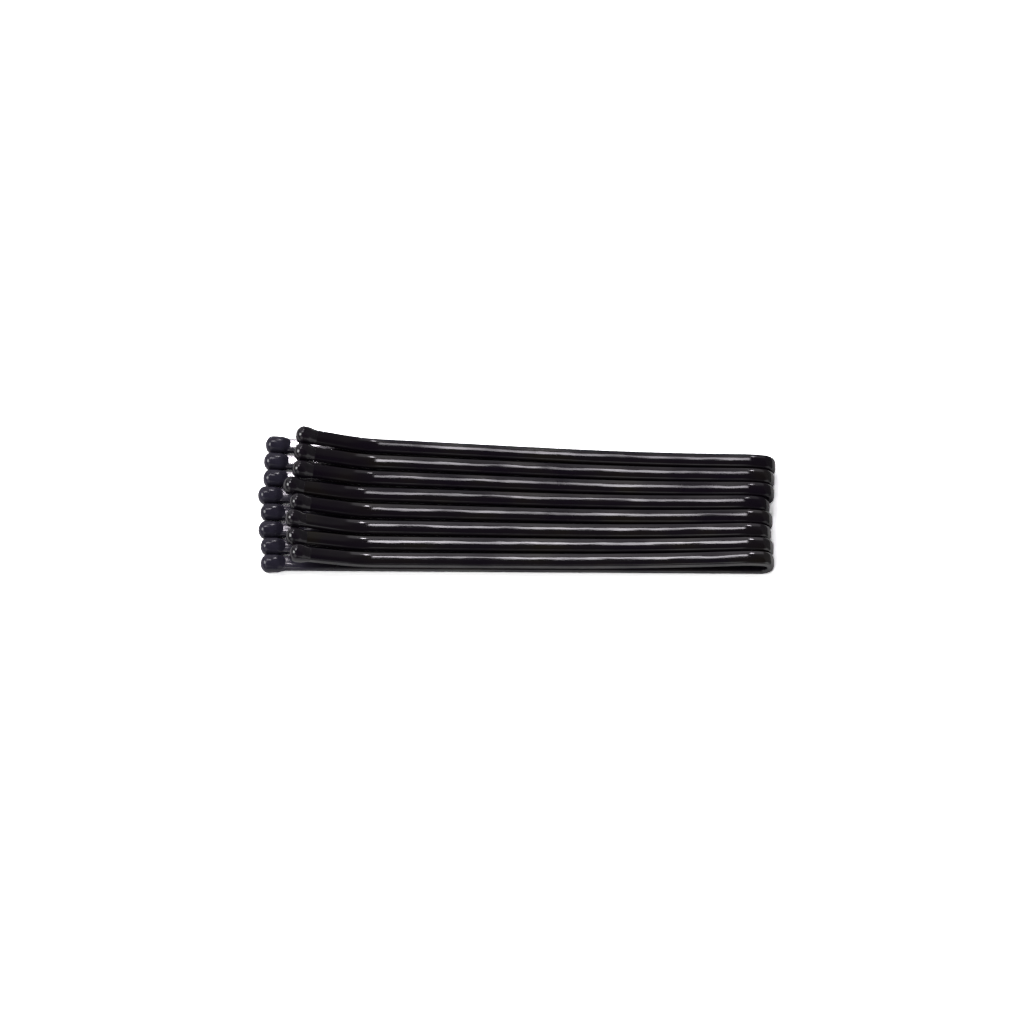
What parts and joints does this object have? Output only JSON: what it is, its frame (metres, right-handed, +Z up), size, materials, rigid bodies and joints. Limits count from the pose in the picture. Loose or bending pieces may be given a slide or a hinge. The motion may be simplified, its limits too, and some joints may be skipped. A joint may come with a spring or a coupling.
{
  "type": "bobby pin",
  "caption": "Row of bobby pins: flat black spring-wire hairpins, each with a U bend, a straight long leg, a short leg kicked up at its end, and resin-dipped tips.",
  "frame": {"origin": "middle of the underside of the row, on the surface that it lies on", "axes": "+X runs from the tips to the bends, +Y across the row, +Z up"},
  "size_m": [0.0516, 0.0154, 0.004],
  "materials": {
    "lacquered_wire": "glossy black lacquer on flat spring steel wire",
    "long_tip_resin": "glossy blue-black resin bead",
    "short_tip_resin": "glossy black resin bead"
  },
  "bodies": {
    "pin_1": {"pin_1_long_leg": "lacquered_wire", "pin_1_bend": "lacquered_wire", "pin_1_long_tip": "long_tip_resin"},
    "pin_1_short_arm": {"pin_1_short_leg": "lacquered_wire", "pin_1_short_tip": "short_tip_resin"},
    "pin_2": {"pin_2_long_leg": "lacquered_wire", "pin_2_bend": "lacquered_wire", "pin_2_long_tip": "long_tip_resin"},
    "pin_2_short_arm": {"pin_2_short_leg": "lacquered_wire", "pin_2_short_tip": "short_tip_resin"},
    "pin_3": {"pin_3_long_leg": "lacquered_wire", "pin_3_bend": "lacquered_wire", "pin_3_long_tip": "long_tip_resin"},
    "pin_3_short_arm": {"pin_3_short_leg": "lacquered_wire", "pin_3_short_tip": "short_tip_resin"},
    "pin_4": {"pin_4_long_leg": "lacquered_wire", "pin_4_bend": "lacquered_wire", "pin_4_long_tip": "long_tip_resin"},
    "pin_4_short_arm": {"pin_4_short_leg": "lacquered_wire", "pin_4_short_tip": "short_tip_resin"},
    "pin_5": {"pin_5_long_leg": "lacquered_wire", "pin_5_bend": "lacquered_wire", "pin_5_long_tip": "long_tip_resin"},
    "pin_5_short_arm": {"pin_5_short_leg": "lacquered_wire", "pin_5_short_tip": "short_tip_resin"},
    "pin_6": {"pin_6_long_leg": "lacquered_wire", "pin_6_bend": "lacquered_wire", "pin_6_long_tip": "long_tip_resin"},
    "pin_6_short_arm": {"pin_6_short_leg": "lacquered_wire", "pin_6_short_tip": "short_tip_resin"},
    "pin_7": {"pin_7_long_leg": "lacquered_wire", "pin_7_bend": "lacquered_wire", "pin_7_long_tip": "long_tip_resin"},
    "pin_7_short_arm": {"pin_7_short_leg": "lacquered_wire", "pin_7_short_tip": "short_tip_resin"},
    "pin_8": {"pin_8_long_leg": "lacquered_wire", "pin_8_bend": "lacquered_wire", "pin_8_long_tip": "long_tip_resin"},
    "pin_8_short_arm": {"pin_8_short_leg": "lacquered_wire", "pin_8_short_tip": "short_tip_resin"}
  },
  "joints": [
    {"name": "pin_2_lift_off", "type": "slide", "parent": "pin_1", "child": "pin_2", "axis": [0, 0, 1], "range_m": [0, 0.03]},
    {"name": "pin_3_lift_off", "type": "slide", "parent": "pin_1", "child": "pin_3", "axis": [0, 0, 1], "range_m": [0, 0.03]},
    {"name": "pin_4_lift_off", "type": "slide", "parent": "pin_1", "child": "pin_4", "axis": [0, 0, 1], "range_m": [0, 0.03]},
    {"name": "pin_5_lift_off", "type": "slide", "parent": "pin_1", "child": "pin_5", "axis": [0, 0, 1], "range_m": [0, 0.03]},
    {"name": "pin_6_lift_off", "type": "slide", "parent": "pin_1", "child": "pin_6", "axis": [0, 0, 1], "range_m": [0, 0.03]},
    {"name": "pin_7_lift_off", "type": "slide", "parent": "pin_1", "child": "pin_7", "axis": [0, 0, 1], "range_m": [0, 0.03]},
    {"name": "pin_8_lift_off", "type": "slide", "parent": "pin_1", "child": "pin_8", "axis": [0, 0, 1], "range_m": [0, 0.03]},
    {"name": "pin_1_spring_open", "type": "hinge", "parent": "pin_1", "child": "pin_1_short_arm", "pos_m": [0.02455, 0.00402, 0.00126], "axis": [0.0557, 0.9984, 0], "range_deg": [0, 12], "stiffness_Nm_per_rad": 0.3, "deforming": ["pin_1_bend"]},
    {"name": "pin_2_spring_open", "type": "hinge", "parent": "pin_2", "child": "pin_2_short_arm", "pos_m": [0.02442, 0.00244, 0.00126], "axis": [0.0491, 0.9988, 0], "range_deg": [0, 12], "stiffness_Nm_per_rad": 0.3, "deforming": ["pin_2_bend"]},
    {"name": "pin_3_spring_open", "type": "hinge", "parent": "pin_3", "child": "pin_3_short_arm", "pos_m": [0.02438, 0.00088, 0.00126], "axis": [0.0418, 0.9991, 0], "range_deg": [0, 12], "stiffness_Nm_per_rad": 0.3, "deforming": ["pin_3_bend"]},
    {"name": "pin_4_spring_open", "type": "hinge", "parent": "pin_4", "child": "pin_4_short_arm", "pos_m": [0.02391, -0.00065, 0.00126], "axis": [0.0335, 0.9994, 0], "range_deg": [0, 12], "stiffness_Nm_per_rad": 0.3, "deforming": ["pin_4_bend"]},
    {"name": "pin_5_spring_open", "type": "hinge", "parent": "pin_5", "child": "pin_5_short_arm", "pos_m": [0.02418, -0.00224, 0.00126], "axis": [0.0262, 0.9997, 0], "range_deg": [0, 12], "stiffness_Nm_per_rad": 0.3, "deforming": ["pin_5_bend"]},
    {"name": "pin_6_spring_open", "type": "hinge", "parent": "pin_6", "child": "pin_6_short_arm", "pos_m": [0.02401, -0.00376, 0.00126], "axis": [0.0167, 0.9999, 0], "range_deg": [0, 12], "stiffness_Nm_per_rad": 0.3, "deforming": ["pin_6_bend"]},
    {"name": "pin_7_spring_open", "type": "hinge", "parent": "pin_7", "child": "pin_7_short_arm", "pos_m": [0.02425, -0.00532, 0.00126], "axis": [0.01, 0.9999, 0], "range_deg": [0, 12], "stiffness_Nm_per_rad": 0.3, "deforming": ["pin_7_bend"]},
    {"name": "pin_8_spring_open", "type": "hinge", "parent": "pin_8", "child": "pin_8_short_arm", "pos_m": [0.02428, -0.00691, 0.00126], "axis": [0.0035, 1, 0], "range_deg": [0, 12], "stiffness_Nm_per_rad": 0.3, "deforming": ["pin_8_bend"]}
  ]
}
